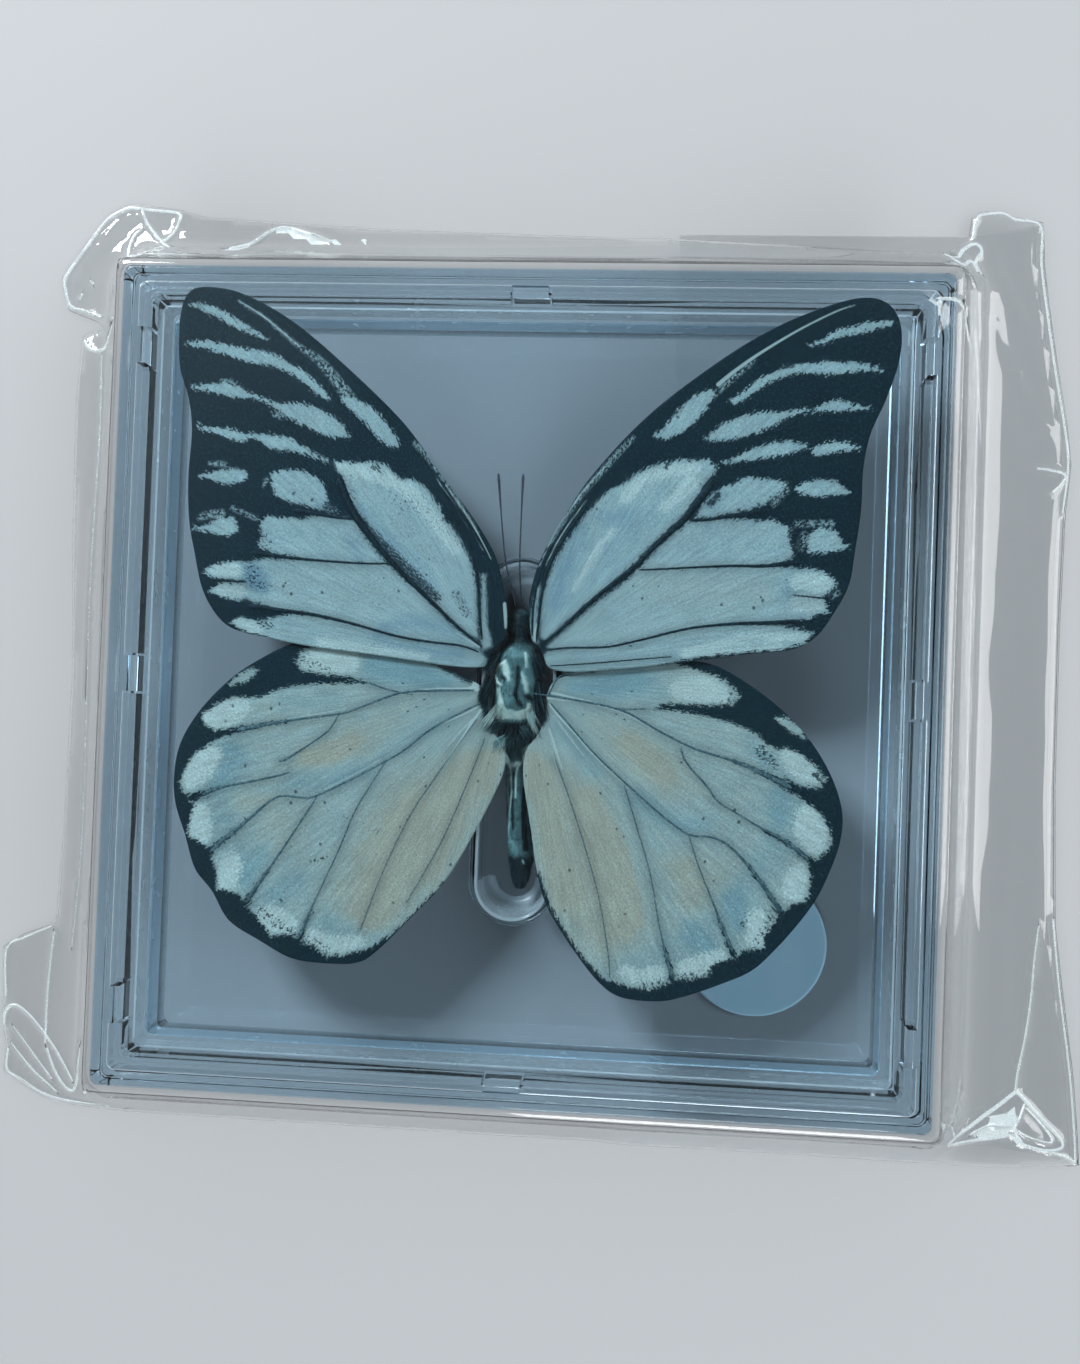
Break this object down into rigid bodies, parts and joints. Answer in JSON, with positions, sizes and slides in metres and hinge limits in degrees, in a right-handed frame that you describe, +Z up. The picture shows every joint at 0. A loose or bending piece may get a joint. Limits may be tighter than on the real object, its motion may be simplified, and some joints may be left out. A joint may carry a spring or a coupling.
{
  "type": "mounted butterfly in clear display case",
  "caption": "Spread white butterfly lying between the halves of a flat clear case, wrapped in a clear film bag with a round seal.",
  "frame": {"origin": "on the flat underside that the object rests on, under the middle of the case", "axes": "+Z up, out through the window; +Y from the butterfly's tail to its head; +X to the wing tip at the right as seen from above"},
  "size_m": [0.1343, 0.1177, 0.0123],
  "materials": {
    "clear_plastic": "clear, polished",
    "bag_film": "clear crinkled film",
    "wing_scales": "matte wing scales with black veins and borders",
    "body_hair": "fine hair",
    "antenna_black": "satin",
    "seal_paper": "frosted"
  },
  "bodies": {
    "root": {"bag": "bag_film", "body": "body_hair", "case_back": "clear_plastic", "case_front": "clear_plastic", "left_antenna": "antenna_black", "left_forewing": "wing_scales", "left_hindwing": "wing_scales", "right_antenna": "antenna_black", "right_forewing": "wing_scales", "right_hindwing": "wing_scales", "seal_sticker": "seal_paper"}
  },
  "joints": []
}
